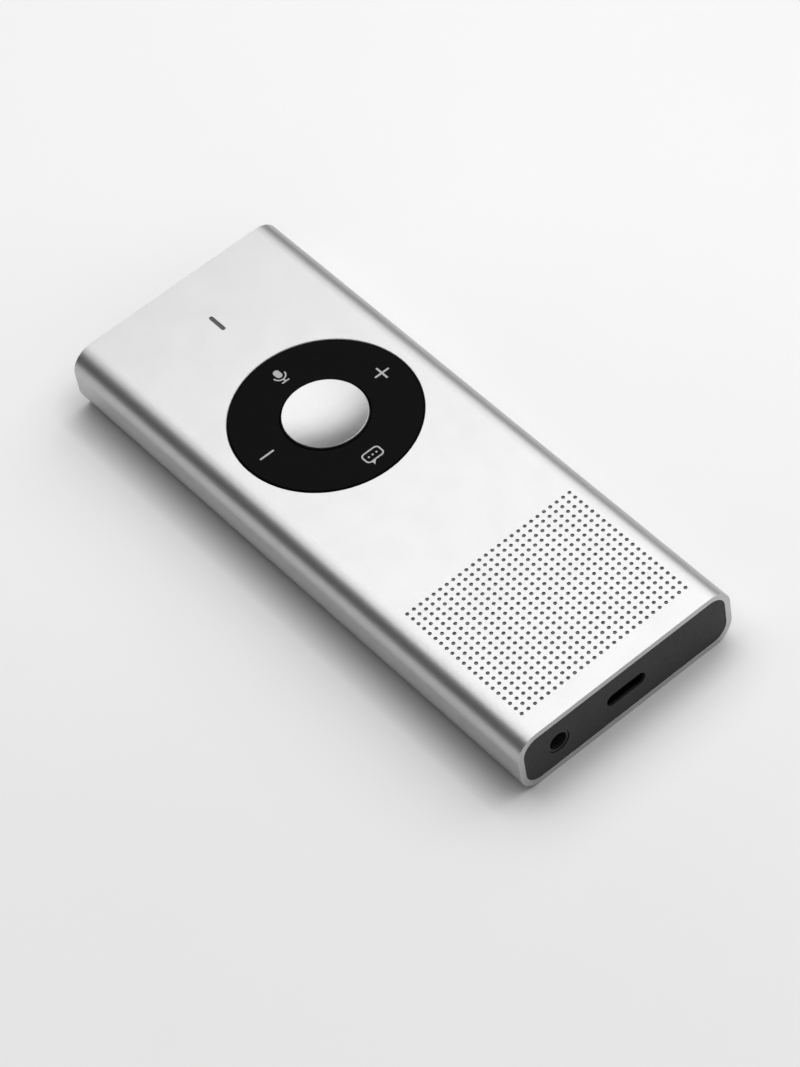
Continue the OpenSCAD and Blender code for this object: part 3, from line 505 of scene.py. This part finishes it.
def arc(x, y, r, start, end, steps=24):
    """Points on an arc round (x, y), angles in degrees."""
    angles = [math.radians(start + (end - start) * i / steps) for i in range(steps + 1)]
    return [(x + r * math.cos(angle), y + r * math.sin(angle)) for angle in angles]


def circle(x, y, r, steps=12):
    return arc(x, y, r, 0, 360, steps)[:-1]


def rounded(width, depth, r):
    """Rectangle with round corners, centred, from its upper right corner on."""
    points = []
    for x, y, start in ((1, 1, 0), (-1, 1, 90), (-1, -1, 180), (1, -1, 270)):
        points += arc(x * (width / 2 - r), y * (depth / 2 - r), r, start, start + 90, 6)
    return points


def print_mark(name, shapes, place):
    """Thin printed mark on the ring's top. Each shape is an outline and then its holes, if it has any."""
    low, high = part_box("ring_key")
    x, y = (low.x + high.x) / 2 + place[0], (low.y + high.y) / 2 + place[1]
    mesh = bmesh.new()
    for shape in shapes:
        edges = []
        for loop in shape:
            corners = [mesh.verts.new((x + dx, y + dy, high.z)) for dx, dy in loop]
            edges += [mesh.edges.new(pair) for pair in zip(corners, corners[1:] + corners[:1])]
        bmesh.ops.triangle_fill(mesh, edges=edges, use_beauty=True)
    raised = bmesh.ops.extrude_face_region(mesh, geom=mesh.faces, use_keep_orig=True)["geom"]
    raised_corners = [part for part in raised if isinstance(part, bmesh.types.BMVert)]
    bmesh.ops.translate(mesh, verts=raised_corners, vec=(0, 0, MARK_T))
    bmesh.ops.recalc_face_normals(mesh, faces=mesh.faces)
    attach(add_mesh(name, mesh, INK.material), "ring")


def plus_outline():
    """Two crossed bars with square ends."""
    far, near = MARK_SIZE / 2, MARK_STROKE / 2
    return [(near, near), (near, far), (-near, far), (-near, near), (-far, near), (-far, -near),
            (-near, -near), (-near, -far), (near, -far), (near, -near), (far, -near), (far, near)]


def minus_outline():
    """A bar with round ends."""
    reach, r = (MARK_SIZE - MARK_STROKE) / 2, MARK_STROKE / 2
    return arc(reach, 0, r, -90, 90, 8) + arc(-reach, 0, r, 90, 270, 8)


def microphone_head():
    """Two half circles, one above the other, and the straight sides between them."""
    return arc(0, HEAD_RISE, HEAD_R, 0, 180, 12) + arc(0, 0, HEAD_R, 180, 360, 12)


def microphone_stand():
    """The cradle under the head, with its stem and foot."""
    outside = CRADLE_R + CRADLE_STROKE
    stem, foot, foot_low = STEM_STROKE / 2, FOOT_W / 2, FOOT_TOP - CRADLE_STROKE
    turn = math.degrees(math.asin(stem / outside))
    legs = [(stem, FOOT_TOP), (foot, FOOT_TOP), (foot, foot_low),
            (-foot, foot_low), (-foot, FOOT_TOP), (-stem, FOOT_TOP)]
    return (arc(0, 0, CRADLE_R, 180, 360) + arc(0, 0, outside, 360, 270 + turn)
            + legs + arc(0, 0, outside, 270 - turn, 180))


def speech_rim():
    """The bubble's outer line, with the tail between its two lower corners, and its inner line."""
    outer = rounded(BUBBLE_W, BUBBLE_D, BUBBLE_R)
    inner = rounded(BUBBLE_W - 2 * BUBBLE_STROKE, BUBBLE_D - 2 * BUBBLE_STROKE, BUBBLE_R - BUBBLE_STROKE)
    bottom = -BUBBLE_D / 2
    tail = [(TAIL_LEFT, bottom), (TAIL_LEFT, bottom - TAIL_DROP), (TAIL_RIGHT, bottom)]
    three_corners = len(outer) * 3 // 4
    return [outer[:three_corners] + tail + outer[three_corners:], inner]


def speech_dots():
    return [[circle(step * DOT_PITCH, 0, DOT_R)] for step in (-1, 0, 1)]


print_mark("mark_plus", [[plus_outline()]], PLUS_PLACE)
print_mark("mark_minus", [[minus_outline()]], MINUS_PLACE)
print_mark("mark_microphone", [[microphone_head()], [microphone_stand()]], MICROPHONE_PLACE)
print_mark("mark_speech", [speech_rim(), *speech_dots()], SPEECH_PLACE)


# ---------------------------------------------------------------- floor, softboxes, room and camera

def make_floor():
    mesh = bmesh.new()
    bmesh.ops.create_circle(mesh, cap_ends=True, segments=3, radius=FLOOR_REACH)
    paper = Surface("floor_paper", (FLOOR_GREY, FLOOR_GREY, FLOOR_GREY), 0.85, specular=0.2)
    paper.vary_colour(paper.noise(CLOUD_SIZE, detail=3), CLOUD_DEPTH)
    # Painted contact shade beside the object
    paper.paint_contact_shade(CONTACT_REACH, CONTACT_SHADE, CONTACT_WAY)
    paper.glow_far_away(*FLOOR_FAR, FLOOR_GREY)
    add_mesh("floor", mesh, paper.material)


def make_softbox(name, x0, x1, y0, y1, radiance):
    lamp = bpy.data.lights.new(name, "AREA")
    lamp.shape = "RECTANGLE"
    lamp.size = x1 - x0
    lamp.size_y = y1 - y0
    lamp.energy = radiance * math.pi * lamp.size * lamp.size_y
    add_object(name, lamp).location = ((x0 + x1) / 2, (y0 + y1) / 2, SOFTBOX_HEIGHT)


def make_room():
    world = bpy.data.worlds.new("room")
    bpy.context.scene.world = world
    world.use_nodes = True
    tree = world.node_tree
    way = tree.nodes.new("ShaderNodeTexCoord").outputs["Generated"]

    def grey_by(direction, near, far, to_near, to_far):
        """Grey that goes from to_near to to_far as the direction's share goes from near to far."""
        share = tree.nodes.new("ShaderNodeVectorMath")
        share.operation = "DOT_PRODUCT"
        share.inputs[1].default_value = direction
        tree.links.new(way, share.inputs[0])
        grey = tree.nodes.new("ShaderNodeMapRange")
        grey.interpolation_type = "SMOOTHSTEP"
        for key, number in (("From Min", near), ("From Max", far), ("To Min", to_near), ("To Max", to_far)):
            grey.inputs[key].default_value = number
        tree.links.new(share.outputs["Value"], grey.inputs["Value"])
        return grey.outputs["Result"]

    wall = tree.nodes.new("ShaderNodeMath")
    wall.operation = "MULTIPLY_ADD"
    tree.links.new(grey_by((0, 0, 1), *WALL_TOP, WALL_GREY - DIM_GREY, 0), wall.inputs[0])
    tree.links.new(grey_by((0, 1, 0), *WALL_END, 1, 0), wall.inputs[1])
    wall.inputs[2].default_value = DIM_GREY
    tree.links.new(wall.outputs[0], tree.nodes["Background"].inputs["Color"])


def make_camera():
    lens = bpy.data.cameras.new("camera")
    lens.lens = CAMERA_LENS
    lens.sensor_width = SENSOR
    camera = add_object("camera", lens)
    camera.location = CAMERA_PLACE
    camera.rotation_mode = "QUATERNION"
    level = (CAMERA_TARGET - CAMERA_PLACE).to_track_quat("-Z", "Y")
    camera.rotation_quaternion = level @ Quaternion((0, 0, 1), CAMERA_ROLL)
    bpy.context.scene.camera = camera


make_floor()
make_softbox("softbox_main", *SOFTBOX_MAIN)
make_softbox("softbox_left", *SOFTBOX_LEFT)
make_room()
make_camera()
bpy.context.scene.view_settings.view_transform = "Standard"
